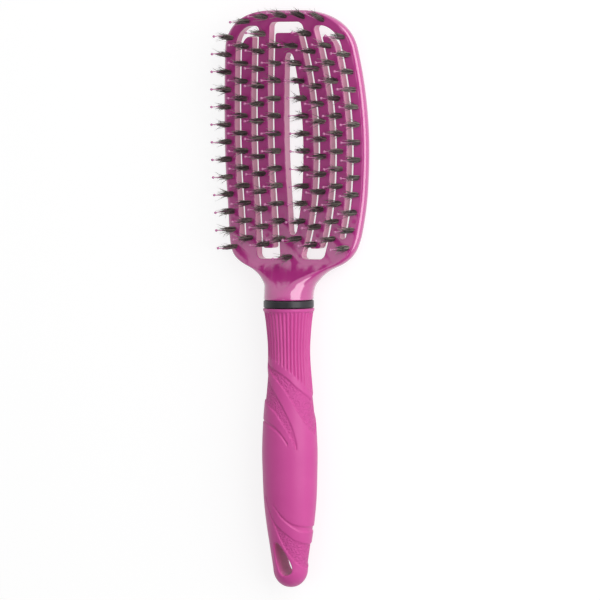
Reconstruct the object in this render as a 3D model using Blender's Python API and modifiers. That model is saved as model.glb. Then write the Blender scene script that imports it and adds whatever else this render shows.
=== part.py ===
# A vent brush: an arched head of interlocking fingers, a dark collar ring, a soft grip
# with a leaf shaped hanging hole, and 106 tufts of boar bristle, each with one nylon quill.
# Metres, +Z up. The brush lies on its back with its bristles up, its head towards +Y,
# and its origin is under the middle of its length, on the surface that it rests on.

import math
import random

import bmesh
import bpy
from mathutils import Vector

# Lengths along the handle, counted from the butt of the grip.
GRIP_LENGTH = 0.1188
RING_WIDTH = 0.0031
NECK_LENGTH = 0.0051
HEAD_LENGTH = 0.1175
SHOULDER_LENGTH = 0.0215
THINNING_LENGTH = 0.0165

# Gaps: end to end between neighbours, round the tang, and round the tuft strips.
SEAT_GAP = 0.00025
TANG_CLEARANCE = 0.00025
STRIP_CLEARANCE = 0.00025

# The head: a bowed outline, an arched face, and a plate of one depth.
PLATE_DEPTH = 0.005
EDGE_RADIUS = 0.0022
CORNER_LENGTH = 0.017
CORNER_POWER = 2.4
BLUNT_END_SHARE = 0.2
RAIL_BOW = 0.00364
FACE_LOW_BELOW_TOP = 0.071
REST_FLAT_LENGTH = 0.008
ARCH_RISE_AT_TOP = 0.0083
ARCH_RISE_AT_NECK = 0.004
ARCH_TOP_POWER = 2.2
ARCH_NECK_POWER = 2.0

# How the neck widens into the head: a share of the shoulder's length, and a share of the widening.
SHOULDER_SHARES = [
    (-0.14, 0.0), (-0.065, 0.01), (0.051, 0.046), (0.153, 0.142), (0.251, 0.262), (0.349, 0.435),
    (0.451, 0.68), (0.507, 0.778), (0.586, 0.876), (0.707, 0.948), (0.823, 0.98), (1.0, 1.0)]

# The fingers and the one slot that winds between them.
RAIL_WIDTH = 0.005
SLOT_WIDTH = 0.003
CENTRE_OPENING_WIDTH = 0.0088
RIM_EXTRA = 0.00095
TURN_WIDTH = 0.0045
HIGH_TURN_WIDTH = 0.0075
HIGH_TURN_LENGTH = 0.009
STANDING_ROUND_WIDTH = 0.0038
STANDING_ROUND_LENGTH = 0.0052
STANDING_CORNER = 0.0009
HANGING_CORNER = 0.0012
WINDOW_WIDTH = 0.0046
WINDOW_CORNER = 0.0021
WINDOW_FROM_TOP = 0.005
FINGER_TOP_FROM_TOP = 0.0111
FINGER_END_ABOVE_SHOULDER = 0.0165
OUTER_SLOT_END_ABOVE_SHOULDER = 0.0205
LENS_END_ABOVE_SHOULDER = 0.022
LENS_TOP_FROM_TOP = 0.018

# The rows of tufts, from the middle finger outwards.
ROW_PITCH = 0.0074
ROW_START_ABOVE_SHOULDER = 0.0171
ROW_END_BELOW_TOP = 0.0116
HANGING_ROW_SHIFT = 0.0014
EDGE_TUFT_INSET = 0.0034
TOP_ROW_FROM_TOP = 0.0026
TOP_ROW_HALF_WIDTH = 0.0178
TOP_ROW_DROP = 0.0019
TOP_ROW_COUNT = 5
TOP_ROW_LEAN = 0.0011
NECK_TUFT_ABOVE_SHOULDER = 0.013

# One tuft and the slice of backing that holds it.
STRIP_WIDTH = 0.002
STRIP_DEPTH = 0.0011
STRIP_SUNK = 0.0002
TUFT_LENGTH = 0.0017
BOAR_LENGTH = 0.0115
BOAR_LENGTH_SPREAD = 0.0009
BOAR_SPLAY_SHARE = 1.15
BOAR_TIP_SHARE = 0.42
QUILL_LENGTH = 0.0163
QUILL_SHAFT_SHARE = 0.55
BALL_HEIGHT = 0.0012
BALL_SHARE = 1.25

# The neck, the ring and the tang inside the grip.
NECK_RADIUS = 0.0106
RING_RADIUS = 0.0107
RING_SEAT_RADIUS = 0.0075
RING_EDGE = 0.0005
TANG_RADIUS = 0.0052
TANG_END_RADIUS = 0.0046
TANG_END_FROM_BUTT = 0.0245

# The grip. Each pair is a share of its length and a share of its belly's radius.
BELLY_RADIUS = 0.01205
BELLY_DEPTH_SHARE = 0.9
BUTT_LENGTH = 0.008
LIP_LENGTH = 0.0014
LIP_PROUD = 0.0003
GRIP_OUTLINE_SHARES = [
    (0.055, 0.61), (0.097, 0.672), (0.15, 0.75), (0.235, 0.873), (0.32, 0.955), (0.41, 0.988),
    (0.50, 1.0), (0.62, 0.933), (0.74, 0.81), (0.845, 0.748), (0.94, 0.806), (1.0, 0.885)]
RIB_COUNT = 36
RIB_DEPTH = 0.00035
RIB_END_FROM_RING = 0.0235
RIB_END_SLANT = 0.007

# The hanging hole: a leaf on the front whose twin on the back leans the other way.
HOLE_LENGTH = 0.0148
HOLE_WIDTH = 0.007
HOLE_ABOVE_BUTT = 0.0119
HOLE_OFFSET = 0.0006
HOLE_SLANT_DEGREES = 21

HOLE_WIDEST_SHARE = 0.77

# How finely the curved shapes are divided, and how far a cutter runs past its work.
CORNER_STEPS = 5
SHOULDER_STEPS = 14
HEAD_END_STEPS = 9
TURN_STEPS = 4
HOLE_STEPS = 20
HOLE_LEVELS = 4
RING_STEPS = 32
BUTT_STEPS = 5
BODY_STEPS = 20
ROUND_SHARE = 0.96
OVERRUN = 0.002
WELD_DISTANCE = 0.00001
SHARP_DEGREES = 35

# Places along the handle that follow from the sizes above.
ring_start = GRIP_LENGTH + SEAT_GAP
neck_start = ring_start + RING_WIDTH + SEAT_GAP
shoulder_start = neck_start + NECK_LENGTH
plate_start = shoulder_start + SHOULDER_LENGTH
head_top = shoulder_start + HEAD_LENGTH
face_low_at = head_top - FACE_LOW_BELOW_TOP
row_start = shoulder_start + ROW_START_ABOVE_SHOULDER
row_end = head_top - ROW_END_BELOW_TOP
row_centre = (row_start + row_end) / 2
row_half_length = row_end - row_centre
long_row_count = round((row_end - row_start) / ROW_PITCH) + 1
short_row_count = long_row_count - 1
neck_tuft_at = shoulder_start + NECK_TUFT_ABOVE_SHOULDER
rail_pitch = RAIL_WIDTH + SLOT_WIDTH
inner_rail = (CENTRE_OPENING_WIDTH + RAIL_WIDTH) / 2
axis_height = BELLY_RADIUS * BELLY_DEPTH_SHARE
half_length = head_top / 2

COLOURS = {
    "gloss_magenta": ((0.42, 0.03, 0.16, 1), 0.18, 0.0),
    "gloss_charcoal": ((0.05, 0.045, 0.05, 1), 0.2, 0.0),
    "satin_pink": ((0.62, 0.09, 0.35, 1), 0.45, 0.0),
    "boar": ((0.035, 0.033, 0.028, 1), 0.6, 0.0),
    "pink_nylon": ((0.7, 0.16, 0.42, 1), 0.3, 0.0),
}


def smooth(share):
    share = min(max(share, 0), 1)
    return share * share * (3 - 2 * share)


def mix(first, second, share):
    return first + (second - first) * share


def bow(along):
    return RAIL_BOW * ((along - row_centre) / row_half_length) ** 2


def rail_x(index, along):
    """The middle of a finger, index 0 next to the centre opening and 3 at the rim."""
    return inner_rail + rail_pitch * index - bow(along)


def head_half_width(along):
    width = rail_x(3, along) + RAIL_WIDTH / 2 + RIM_EXTRA
    past_corner = (along - (head_top - CORNER_LENGTH)) / CORNER_LENGTH
    if past_corner > 0:
        width *= mix(BLUNT_END_SHARE, 1, max(1 - past_corner ** CORNER_POWER, 0) ** (1 / CORNER_POWER))
    up_shoulder = (along - shoulder_start) / SHOULDER_LENGTH
    if up_shoulder >= 1:
        return width
    up_shoulder = max(up_shoulder, SHOULDER_SHARES[0][0])
    return mix(NECK_RADIUS, width, curve_through(SHOULDER_SHARES, up_shoulder))


def face_height(along):
    """The arched face of the plate, lowest where the brush rests."""
    past = abs(along - face_low_at) - REST_FLAT_LENGTH / 2
    if past <= 0:
        return PLATE_DEPTH
    if along > face_low_at:
        reach = FACE_LOW_BELOW_TOP - REST_FLAT_LENGTH / 2
        return PLATE_DEPTH + ARCH_RISE_AT_TOP * (past / reach) ** ARCH_TOP_POWER
    reach = face_low_at - neck_tuft_at - REST_FLAT_LENGTH / 2
    return PLATE_DEPTH + ARCH_RISE_AT_NECK * (past / reach) ** ARCH_NECK_POWER


def curve_through(shares, place):
    """A smooth value at a place, through hand chosen pairs of place and value."""
    last = len(shares) - 1
    index = 0
    while index < last - 1 and place > shares[index + 1][0]:
        index += 1
    (x1, y1), (x2, y2) = shares[index], shares[index + 1]
    x0, y0 = shares[max(index - 1, 0)]
    x3, y3 = shares[min(index + 2, last)]
    t = (place - x1) / (x2 - x1)
    slope1 = (y2 - y0) / (x2 - x0) * (x2 - x1)
    slope2 = (y3 - y1) / (x3 - x1) * (x2 - x1)
    return ((2 * t ** 3 - 3 * t ** 2 + 1) * y1 + (t ** 3 - 2 * t ** 2 + t) * slope1
            + (3 * t ** 2 - 2 * t ** 3) * y2 + (t ** 3 - t ** 2) * slope2)


def place(x, along, z):
    """A point from its distance along the handle to the part's own frame."""
    return Vector((x, along - half_length, z))


def steps(first, last, count):
    return [mix(first, last, index / count) for index in range(count + 1)]


def clear_scene():
    for item in list(bpy.data.objects):
        bpy.data.objects.remove(item, do_unlink=True)


def make_collection(name, hidden=False):
    collection = bpy.data.collections.new(name)
    bpy.context.scene.collection.children.link(collection)
    collection.hide_render = hidden
    return collection


def make_material(name):
    colour, roughness, metallic = COLOURS[name]
    material = bpy.data.materials.new(name)
    material.use_nodes = True
    shader = material.node_tree.nodes["Principled BSDF"]
    shader.inputs["Base Color"].default_value = colour
    shader.inputs["Roughness"].default_value = roughness
    shader.inputs["Metallic"].default_value = metallic
    return material


def object_from(bm, name, collection, materials=()):
    """A mesh object; a piece has materials and smooth shading, a cutter has neither."""
    mesh = bpy.data.meshes.new(name)
    bmesh.ops.recalc_face_normals(bm, faces=bm.faces)
    bm.to_mesh(mesh)
    bm.free()
    for material in materials:
        mesh.materials.append(material)
    if materials:
        mesh.shade_smooth()
        mesh.set_sharp_from_angle(angle=math.radians(SHARP_DEGREES))
    item = bpy.data.objects.new(name, mesh)
    collection.objects.link(item)
    return item


def loft_mesh(sections):
    """A closed skin over sections that have the same number of points."""
    bm = bmesh.new()
    rings = [[bm.verts.new(point) for point in section] for section in sections]
    count = len(rings[0])
    for ring, following in zip(rings, rings[1:]):
        for index in range(count):
            after = (index + 1) % count
            bm.faces.new((ring[index], ring[after], following[after], following[index]))
    bm.faces.new(rings[0])
    bm.faces.new(rings[-1])
    return bm, rings


def as_cutter(item):
    item.hide_render = True
    item.display_type = "WIRE"
    return item


def loft_cutter(name, sections, collection):
    bm, _ = loft_mesh(sections)
    bmesh.ops.triangulate(bm, faces=bm.faces)
    return as_cutter(object_from(bm, name, collection))


def outline_cutter(name, points, low, high, collection):
    """A flat outline in X and Y, extruded from low to high, as a mesh that can cut."""
    curve = bpy.data.curves.new(name, "CURVE")
    curve.dimensions = "2D"
    curve.fill_mode = "BOTH"
    curve.extrude = (high - low) / 2
    spline = curve.splines.new("POLY")
    spline.points.add(len(points) - 1)
    for point, co in zip(spline.points, points):
        point.co = (co[0], co[1], 0, 1)
    spline.use_cyclic_u = True
    guide = bpy.data.objects.new(name + "_outline", curve)
    guide.location.z = (high + low) / 2
    collection.objects.link(guide)
    bpy.context.view_layer.update()
    evaluated = guide.evaluated_get(bpy.context.evaluated_depsgraph_get())
    mesh = bpy.data.meshes.new_from_object(evaluated)
    bm = bmesh.new()
    bm.from_mesh(mesh)
    bmesh.ops.remove_doubles(bm, verts=bm.verts, dist=WELD_DISTANCE)
    cutter = object_from(bm, name, collection)
    cutter.matrix_world = guide.matrix_world
    bpy.data.objects.remove(guide)
    return as_cutter(cutter)


def cut(item, cutter):
    modifier = item.modifiers.new(cutter.name, "BOOLEAN")
    modifier.operation = "DIFFERENCE"
    modifier.object = cutter


def rounded_section(along, half_width, low, high, radius):
    """A rectangle with round corners, across the handle at one place along it."""
    middle, half_depth = (high + low) / 2, (high - low) / 2
    points = []
    for corner, (side_x, side_z) in enumerate(((1, 1), (-1, 1), (-1, -1), (1, -1))):
        for angle in steps(corner * math.pi / 2, (corner + 1) * math.pi / 2, CORNER_STEPS):
            x = side_x * (half_width - radius) + radius * math.cos(angle)
            z = middle + side_z * (half_depth - radius) + radius * math.sin(angle)
            points.append(place(x, along, z))
    return points


def round_section(along, radius):
    """The tang and the neck: the same count of points as a rounded rectangle."""
    return rounded_section(along, radius, axis_height - radius, axis_height + radius, radius * ROUND_SHARE)


def plate_section(along):
    """The head between neck and tip: round at the neck, a flat plate past the shoulder."""
    flatness = smooth((along - shoulder_start + NECK_LENGTH / 2) / THINNING_LENGTH)
    half_width = head_half_width(along)
    face = face_height(along)
    top = mix(axis_height + NECK_RADIUS, face, flatness)
    bottom = mix(axis_height - NECK_RADIUS, face - PLATE_DEPTH, flatness)
    into_edge = (along - (head_top - EDGE_RADIUS)) / EDGE_RADIUS
    if into_edge > 0:
        thinned = PLATE_DEPTH / 2 * (1 - BLUNT_END_SHARE) * (1 - math.sqrt(max(1 - into_edge ** 2, 0)))
        top, bottom = top - thinned, bottom + thinned
    limit = ROUND_SHARE * min((top - bottom) / 2, half_width)
    radius = min(mix(NECK_RADIUS, EDGE_RADIUS, flatness), limit)
    return rounded_section(along, half_width, bottom, top, radius)


def head_stations():
    """Where the head's sections lie, closer together where its shape changes."""
    stations = steps(neck_start, shoulder_start, 2)
    stations += steps(shoulder_start, plate_start, SHOULDER_STEPS)[1:]
    corner_start = head_top - CORNER_LENGTH
    plain = [face_low_at - REST_FLAT_LENGTH / 2, face_low_at + REST_FLAT_LENGTH / 2]
    rows_below = max(round((plain[0] - plate_start) / ROW_PITCH), 1)
    rows_above = max(round((corner_start - plain[1]) / ROW_PITCH), 1)
    stations += steps(plate_start, plain[0], rows_below)[1:]
    stations += steps(plain[1], corner_start, rows_above)
    for angle in steps(0, math.pi / 2, HEAD_END_STEPS)[1:]:
        stations.append(corner_start + CORNER_LENGTH * math.sin(angle))
    return stations


def finger_edge(index, side, first, last):
    """One edge of a finger, from one place along it to another."""
    count = max(round(abs(last - first) / ROW_PITCH), 1)
    return [(rail_x(index, along) + side * RAIL_WIDTH / 2, along) for along in steps(first, last, count)]


def corner_of(edge, corner, reach_x, reach_y):
    """Round off a corner that the edge has just reached along the handle or across it.

    A reach is how far the round runs on either side, above zero towards +X or the head."""
    x, along = corner
    upright = abs(edge[-1][0] - x) < abs(edge[-1][1] - along)
    turned = []
    for angle in steps(0, math.pi / 2, TURN_STEPS):
        slow, fast = 1 - math.cos(angle), 1 - math.sin(angle)
        share_x, share_y = (slow, fast) if upright else (fast, slow)
        turned.append((x + reach_x * share_x, along + reach_y * share_y))
    return turned


def winding_slot_points():
    """The whole slot: its right half runs down one edge and back up the other."""
    half = RAIL_WIDTH / 2
    window_top = head_top - WINDOW_FROM_TOP
    window_low = window_top - WINDOW_WIDTH
    hanging_end = shoulder_start + FINGER_END_ABOVE_SHOULDER
    standing_top = head_top - FINGER_TOP_FROM_TOP
    low_turn, high_turn = hanging_end - TURN_WIDTH, standing_top + TURN_WIDTH
    slot_end = shoulder_start + OUTER_SLOT_END_ABOVE_SHOULDER + SLOT_WIDTH / 2

    def side(index, way, along):
        return rail_x(index, along) + way * half, along

    edge = [(0, window_top)]
    edge += corner_of(edge, side(1, -1, window_top), -WINDOW_CORNER, -WINDOW_CORNER)
    edge += finger_edge(1, -1, window_top - WINDOW_CORNER, hanging_end + HANGING_CORNER)[1:]
    edge += corner_of(edge, side(1, -1, hanging_end), HANGING_CORNER, HANGING_CORNER)[1:]
    edge += corner_of(edge, side(1, 1, hanging_end), -HANGING_CORNER, HANGING_CORNER)
    edge += finger_edge(1, 1, hanging_end + HANGING_CORNER, high_turn - WINDOW_CORNER)[1:]
    edge += corner_of(edge, side(1, 1, high_turn), WINDOW_CORNER, -WINDOW_CORNER)[1:]
    edge += corner_of(edge, side(3, -1, high_turn), -HIGH_TURN_WIDTH, -HIGH_TURN_LENGTH)
    edge += finger_edge(3, -1, high_turn - HIGH_TURN_LENGTH, slot_end)[1:]
    for angle in steps(0, math.pi, 2 * TURN_STEPS)[1:-1]:
        x = rail_x(2, slot_end) + rail_pitch / 2 + SLOT_WIDTH / 2 * math.cos(angle)
        edge.append((x, slot_end - SLOT_WIDTH / 2 * math.sin(angle)))
    edge += finger_edge(2, 1, slot_end, standing_top - STANDING_ROUND_LENGTH)
    edge += corner_of(edge, side(2, 1, standing_top), -STANDING_ROUND_WIDTH, -STANDING_ROUND_LENGTH)[1:]
    edge += corner_of(edge, side(2, -1, standing_top), STANDING_CORNER, -STANDING_CORNER)
    edge += finger_edge(2, -1, standing_top - STANDING_CORNER, low_turn + WINDOW_CORNER)[1:]
    edge += corner_of(edge, side(2, -1, low_turn), -WINDOW_CORNER, WINDOW_CORNER)[1:]
    edge += corner_of(edge, side(0, 1, low_turn), WINDOW_CORNER, WINDOW_CORNER)
    edge += finger_edge(0, 1, low_turn + WINDOW_CORNER, window_low - STANDING_CORNER)[1:]
    edge += corner_of(edge, side(0, 1, window_low), -STANDING_CORNER, -STANDING_CORNER)[1:]
    edge.append((0, window_low))
    mirrored = [(-x, along) for x, along in reversed(edge[1:-1])]
    return [(x, along - half_length) for x, along in edge + mirrored]


def centre_opening_points():
    low = shoulder_start + LENS_END_ABOVE_SHOULDER
    high = head_top - LENS_TOP_FROM_TOP
    edge = []
    end_half = [rail_x(0, along) - RAIL_WIDTH / 2 for along in (low, high)]
    count = round((high - low) / ROW_PITCH)
    for along in steps(low + end_half[0], high - end_half[1], count):
        edge.append((rail_x(0, along) - RAIL_WIDTH / 2, along))
    top_x, top_along = edge[-1]
    for angle in steps(0, math.pi / 2, TURN_STEPS)[1:]:
        edge.append((top_x * math.cos(angle), top_along + end_half[1] * math.sin(angle)))
    low_x, low_along = edge[0]
    for angle in steps(0, math.pi / 2, TURN_STEPS)[1:]:
        edge.insert(0, (low_x * math.cos(angle), low_along - end_half[0] * math.sin(angle)))
    other = [(-x, along) for x, along in reversed(edge[1:-1])]
    return [(x, along - half_length) for x, along in edge + other]


def row_places(centre, count):
    return [centre + (index - (count - 1) / 2) * ROW_PITCH for index in range(count)]


def finger_path(index, side):
    """The line of tufts on one finger; the outermost keeps its distance from the rim."""
    def path(along):
        x = head_half_width(along) - EDGE_TUFT_INSET if index == 3 else rail_x(index, along)
        return side * x, along
    return path


def top_path(x):
    return x, head_top - TOP_ROW_FROM_TOP - TOP_ROW_DROP * (x / TOP_ROW_HALF_WIDTH) ** 2


def neck_path(along):
    return 0, along


def tuft_rows():
    """Every strip of tufts: its name, its line, and the places of its tufts on that line."""
    rows = []
    kinds = [("inner", short_row_count, 0), ("hanging", long_row_count, HANGING_ROW_SHIFT),
             ("standing", short_row_count, 0), ("edge", long_row_count, 0)]
    for side, side_name in ((-1, "left"), (1, "right")):
        for index, (kind, count, shift) in enumerate(kinds):
            rows.append({"name": f"tufts_{kind}_{side_name}", "path": finger_path(index, side),
                         "places": row_places(row_centre + shift, count), "across": False})
    top_places = steps(-TOP_ROW_HALF_WIDTH, TOP_ROW_HALF_WIDTH, TOP_ROW_COUNT - 1)
    rows.append({"name": "tufts_top", "path": top_path, "places": top_places, "across": True})
    rows.append({"name": "tuft_neck", "path": neck_path, "places": [neck_tuft_at], "across": False})
    return rows


def strip_point(row, station):
    """A point of the face on the straight runs between tufts, past the ends as well."""
    places = row["places"]
    if len(places) == 1:
        x, along = row["path"](station)
        return x, along, face_height(along)
    index = sum(1 for middle in places[1:-1] if station > middle)
    share = (station - places[index]) / (places[index + 1] - places[index])
    ends = []
    for middle in places[index:index + 2]:
        x, along = row["path"](middle)
        ends.append((x, along, face_height(along)))
    return [mix(first, second, share) for first, second in zip(*ends)]


def strip_section(row, station, half_width, depth, rise, split):
    """Across a strip at one station: square, with a point mid top where tufts are split."""
    x, along, face = strip_point(row, station)
    top = face - STRIP_SUNK + rise
    bottom = face - STRIP_SUNK - depth
    offsets = [(-half_width, bottom), (half_width, bottom), (half_width, top)]
    if split:
        offsets.append((0, top))
    offsets.append((-half_width, top))
    if row["across"]:
        return [place(x, along + offset, z) for offset, z in offsets]
    return [place(x + offset, along, z) for offset, z in offsets]


def groove_cutter(row, collection):
    """The seat of a strip, which leaves the strip's clearance on every side."""
    reach = TUFT_LENGTH + STRIP_CLEARANCE
    stations = [row["places"][0] - reach] + row["places"][1:-1] + [row["places"][-1] + reach]
    half_width, depth = STRIP_WIDTH / 2 + STRIP_CLEARANCE, STRIP_DEPTH + STRIP_CLEARANCE
    sections = [strip_section(row, station, half_width, depth, OVERRUN, False) for station in stations]
    return loft_cutter("groove_" + row["name"], sections, collection)


def grow_strand(bm, face, tip, share, material_index):
    """Extrude one face of the strip to a tip, scaled to a share of its own size."""
    grown = bmesh.ops.extrude_discrete_faces(bm, faces=[face])["faces"][0]
    centre = grown.calc_center_median()
    for vert in grown.verts:
        vert.co = tip + (vert.co - centre) * share
    grown.material_index = material_index
    for edge in grown.edges:
        for side in edge.link_faces:
            side.material_index = material_index
    return grown


def make_tuft_row(row, collection, materials, dice):
    """One strip with its tufts: in each, three boar strands and one ball tipped quill."""
    across = row["across"]
    stations = [row["places"][0] - TUFT_LENGTH]
    for middle in row["places"]:
        stations += [middle - TUFT_LENGTH / 2, middle, middle + TUFT_LENGTH / 2]
    stations.append(row["places"][-1] + TUFT_LENGTH)
    sections = [strip_section(row, station, STRIP_WIDTH / 2, STRIP_DEPTH, 0, True) for station in stations]
    bm, rings = loft_mesh(sections)
    lookup = {frozenset(vert.index for vert in face.verts): face for face in indexed(bm)}
    patches = []
    for number in range(len(row["places"])):
        start = 1 + 3 * number
        patch = []
        for ring, following in ((start, start + 1), (start + 1, start + 2)):
            for left, right in ((2, 3), (3, 4)):
                corners = (rings[ring][left], rings[ring][right],
                           rings[following][right], rings[following][left])
                patch.append(lookup[frozenset(vert.index for vert in corners)])
        patches.append(patch)
    lean = Vector((0, TOP_ROW_LEAN, 0)) if across else Vector((0, 0, 0))
    for patch in patches:
        middle = sum((face.calc_center_median() for face in patch), Vector()) / len(patch)
        for number, face in enumerate(patch):
            base = face.calc_center_median()
            outward = base - middle
            if number == 0:
                tip = base + Vector((0, 0, QUILL_LENGTH - BALL_HEIGHT)) + lean
                shaft = grow_strand(bm, face, tip, QUILL_SHAFT_SHARE, 2)
                wide = shaft.calc_center_median() + Vector((0, 0, BALL_HEIGHT / 2))
                ball = grow_strand(bm, shaft, wide, BALL_SHARE / QUILL_SHAFT_SHARE, 2)
                apex = wide + Vector((0, 0, BALL_HEIGHT / 2))
                grow_strand(bm, ball, apex, QUILL_SHAFT_SHARE / BALL_SHARE, 2)
                continue
            length = BOAR_LENGTH + BOAR_LENGTH_SPREAD * dice.uniform(-1, 1)
            tip = base + outward * BOAR_SPLAY_SHARE + Vector((0, 0, length)) + lean * length / QUILL_LENGTH
            grow_strand(bm, face, tip, BOAR_TIP_SHARE, 1)
    return object_from(bm, row["name"], collection, materials)


def indexed(bm):
    bm.verts.index_update()
    bm.faces.ensure_lookup_table()
    return bm.faces


def make_head(collection, cutters, material):
    sections = [round_section(TANG_END_FROM_BUTT, TANG_END_RADIUS),
                round_section(ring_start, TANG_RADIUS),
                round_section(ring_start, RING_SEAT_RADIUS),
                round_section(neck_start, RING_SEAT_RADIUS)]
    sections += [plate_section(along) for along in head_stations()]
    bm, _ = loft_mesh(sections)
    bmesh.ops.triangulate(bm, faces=bm.faces)
    head = object_from(bm, "head_frame", collection, [material])
    low, high = -OVERRUN, axis_height + NECK_RADIUS + OVERRUN
    cut(head, outline_cutter("winding_slot", winding_slot_points(), low, high, cutters))
    cut(head, outline_cutter("centre_opening", centre_opening_points(), low, high, cutters))
    for row in tuft_rows():
        cut(head, groove_cutter(row, cutters))
    return head


def make_ring(collection, material):
    """A turned ring with softened edges, closed round the tang's seat."""
    inner, outer, edge = RING_SEAT_RADIUS + TANG_CLEARANCE, RING_RADIUS, RING_EDGE
    half = RING_WIDTH / 2
    profile = [(inner, half), (outer - edge, half), (outer, half - edge),
               (outer, edge - half), (outer - edge, -half), (inner, -half)]
    bm = bmesh.new()
    verts = [bm.verts.new((x, 0, z)) for x, z in profile]
    for index, vert in enumerate(verts):
        bm.edges.new((vert, verts[(index + 1) % len(verts)]))
    mesh = bpy.data.meshes.new("collar_ring")
    bm.to_mesh(mesh)
    bm.free()
    mesh.materials.append(material)
    ring = bpy.data.objects.new("collar_ring", mesh)
    collection.objects.link(ring)
    ring.location = place(0, ring_start + half, axis_height)
    ring.rotation_euler.x = math.pi / 2
    screw = ring.modifiers.new("turn", "SCREW")
    screw.steps = RING_STEPS
    screw.render_steps = RING_STEPS
    screw.use_merge_vertices = True
    screw.merge_threshold = WELD_DISTANCE
    screw.use_normal_calculate = True
    return ring


def grip_radius(along):
    radius = BELLY_RADIUS * curve_through(GRIP_OUTLINE_SHARES, max(along, BUTT_LENGTH) / GRIP_LENGTH)
    if along < BUTT_LENGTH:
        end_share = math.sqrt(max(1 - ((BUTT_LENGTH - along) / BUTT_LENGTH) ** 2, 0))
        radius *= mix(BLUNT_END_SHARE, 1, end_share)
    return radius


def rib_depth(angle, along):
    """Ribs run from the lip to a line that slants round the grip, the same on both sides."""
    line = GRIP_LENGTH - RIB_END_FROM_RING - RIB_END_SLANT * (1 + math.cos(angle))
    return RIB_DEPTH if along > line and along < GRIP_LENGTH - LIP_LENGTH else 0


def grip_section(along, proud=0):
    sides = 2 * RIB_COUNT
    radius = grip_radius(along) + proud
    roundness = smooth((along - GRIP_LENGTH / 2) / (GRIP_LENGTH / 2))
    depth_share = mix(BELLY_DEPTH_SHARE, 1, roundness)
    points = []
    for index in range(sides):
        angle = 2 * math.pi * index / sides
        here = radius - (rib_depth(angle, along) if index % 2 and not proud else 0)
        points.append(place(here * math.cos(angle), along, axis_height + here * depth_share * math.sin(angle)))
    return points


def hole_section(level):
    """A leaf outline at a level of the hole, -1 at its back mouth and 1 at its front mouth."""
    lean = min(max(level, -1), 1)
    slant = lean * math.radians(HOLE_SLANT_DEGREES)
    mouth_height = BELLY_DEPTH_SHARE * grip_radius(HOLE_ABOVE_BUTT)
    points = []
    for index in range(HOLE_STEPS):
        angle = 2 * math.pi * (index + 0.5) / HOLE_STEPS
        x = HOLE_WIDTH / 2 / HOLE_WIDEST_SHARE * math.sin(angle) * abs(math.sin(angle / 2))
        y = HOLE_LENGTH / 2 * math.cos(angle)
        turned_x = x * math.cos(slant) - y * math.sin(slant) + lean * HOLE_OFFSET
        turned_y = x * math.sin(slant) + y * math.cos(slant)
        points.append(place(turned_x, HOLE_ABOVE_BUTT + turned_y, axis_height + level * mouth_height))
    return points


def make_grip(collection, cutters, material):
    angles = steps(0, math.pi / 2, BUTT_STEPS)
    stations = [BUTT_LENGTH * (1 - math.cos(angle)) for angle in angles]
    lip_start = GRIP_LENGTH - LIP_LENGTH
    stations += steps(BUTT_LENGTH, lip_start, BODY_STEPS)[1:]
    sections = [grip_section(along) for along in stations]
    sections += [grip_section(along, LIP_PROUD) for along in (lip_start, GRIP_LENGTH)]
    bm, _ = loft_mesh(sections)
    bmesh.ops.triangulate(bm, faces=bm.faces)
    grip = object_from(bm, "grip_sleeve", collection, [material])
    bore_end = TANG_END_FROM_BUTT - TANG_CLEARANCE
    bore = [round_section(bore_end, TANG_END_RADIUS + TANG_CLEARANCE),
            round_section(ring_start + OVERRUN, TANG_RADIUS + TANG_CLEARANCE)]
    cut(grip, loft_cutter("tang_bore", bore, cutters))
    leaf = [hole_section(level) for level in steps(-2, 2, HOLE_LEVELS)]
    cut(grip, loft_cutter("hanging_hole", leaf, cutters))
    return grip


def main():
    clear_scene()
    dice = random.Random(7)
    brush = make_collection("vent_brush")
    cutters = make_collection("cutters", hidden=True)
    materials = {name: make_material(name) for name in COLOURS}
    make_head(brush, cutters, materials["gloss_magenta"])
    make_ring(brush, materials["gloss_charcoal"])
    make_grip(brush, cutters, materials["satin_pink"])
    strip_materials = [materials["gloss_magenta"], materials["boar"], materials["pink_nylon"]]
    for row in tuft_rows():
        make_tuft_row(row, brush, strip_materials, dice)


main()
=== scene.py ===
# A vent brush: a gloss moulded head of hanging and standing fingers, a dark collar ring, a
# soft touch grip, and 106 tufts of boar bristle with one ball tipped quill in each.
from functools import partial
import math

import bmesh
import bpy
from mathutils import Matrix, Vector


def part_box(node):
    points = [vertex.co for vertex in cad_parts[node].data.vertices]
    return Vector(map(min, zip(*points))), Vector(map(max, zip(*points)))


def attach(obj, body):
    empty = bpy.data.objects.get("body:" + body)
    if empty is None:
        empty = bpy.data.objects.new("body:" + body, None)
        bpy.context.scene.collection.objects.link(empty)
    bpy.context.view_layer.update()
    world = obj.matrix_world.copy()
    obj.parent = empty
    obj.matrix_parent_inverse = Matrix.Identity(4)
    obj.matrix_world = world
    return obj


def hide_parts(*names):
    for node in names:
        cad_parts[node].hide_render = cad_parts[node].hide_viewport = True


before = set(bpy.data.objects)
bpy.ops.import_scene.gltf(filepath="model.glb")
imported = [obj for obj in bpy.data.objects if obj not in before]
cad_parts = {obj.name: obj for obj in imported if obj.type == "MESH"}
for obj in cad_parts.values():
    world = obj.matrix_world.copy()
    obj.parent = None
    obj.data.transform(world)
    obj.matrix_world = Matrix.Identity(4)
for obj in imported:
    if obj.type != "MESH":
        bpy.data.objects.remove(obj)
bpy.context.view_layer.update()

mm = 0.001

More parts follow.
